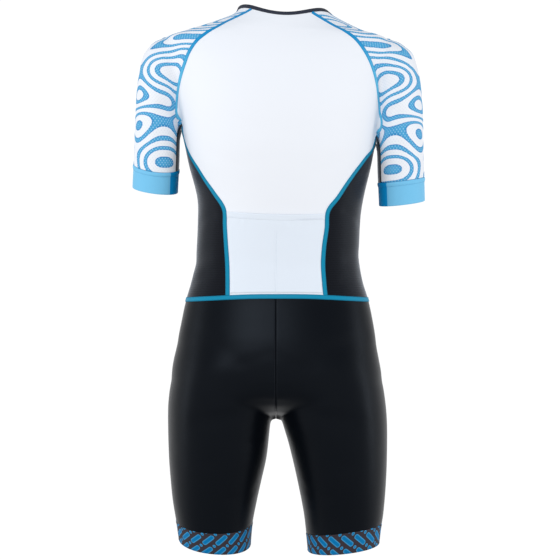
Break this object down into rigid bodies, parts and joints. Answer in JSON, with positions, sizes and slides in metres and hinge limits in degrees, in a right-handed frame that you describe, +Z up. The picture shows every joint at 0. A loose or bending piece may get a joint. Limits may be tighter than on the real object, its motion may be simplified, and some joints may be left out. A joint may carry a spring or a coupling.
{
  "type": "triathlon suit",
  "caption": "One-piece short-sleeved suit with raglan sleeves, fitted shorts legs, rear pocket and front zip, filled out as worn, hollow and open at neck, cuffs and legs.",
  "frame": {"origin": "between the wearer's shoulders, at the height of the back of the neck, where the shoulders hold the suit up", "axes": "+Z up along the wearer, -Y is the front, +X the wearer's left"},
  "size_m": [0.5, 0.2289, 0.9292],
  "materials": {
    "white_knit": "fine matt knit with a slight sheen",
    "ribbed_black_knit": "fine horizontal rib, satin",
    "black_compression_knit": "smooth compression knit with soft broad highlights",
    "printed_mesh_knit": "open pin-hole mesh, printed in blue on white",
    "light_blue_cuff": "smooth elastic band",
    "leg_band_knit": "dark elastic grip band with blue marks",
    "collar_binding": "thin bound edge",
    "blue_seam_tape": "bonded tape, satin",
    "teal_seam_tape": "bonded tape, satin",
    "zip_chain": "moulded coil teeth on knit tape",
    "zip_metal": "dark satin lacquer"
  },
  "bodies": {
    "suit": {"back_panel": "white_knit", "rear_pocket": "white_knit", "front_panel_left": "white_knit", "front_panel_right": "white_knit", "side_panel_left": "ribbed_black_knit", "side_panel_right": "ribbed_black_knit", "underarm_left": "ribbed_black_knit", "underarm_right": "ribbed_black_knit", "short_leg_left": "black_compression_knit", "short_leg_right": "black_compression_knit", "sleeve_left": "printed_mesh_knit", "sleeve_right": "printed_mesh_knit", "cuff_left": "light_blue_cuff", "cuff_right": "light_blue_cuff", "leg_band_left": "leg_band_knit", "leg_band_right": "leg_band_knit", "collar": "collar_binding", "raglan_tape_back_left": "blue_seam_tape", "raglan_tape_back_right": "blue_seam_tape", "raglan_tape_front_left": "blue_seam_tape", "raglan_tape_front_right": "blue_seam_tape", "side_tape_back_left": "teal_seam_tape", "side_tape_back_right": "teal_seam_tape", "side_tape_front_left": "teal_seam_tape", "side_tape_front_right": "teal_seam_tape", "waist_tape": "teal_seam_tape", "zip_chain": "zip_chain", "zip_slider": "zip_metal"},
    "pull_tab": {"zip_pull": "zip_metal"}
  },
  "joints": [
    {"name": "pull_tab_swing", "type": "hinge", "parent": "suit", "child": "pull_tab", "pos_m": [-0.008, -0.09826, -0.04432], "axis": [-1, 0, 0], "range_deg": [0, 150]}
  ]
}
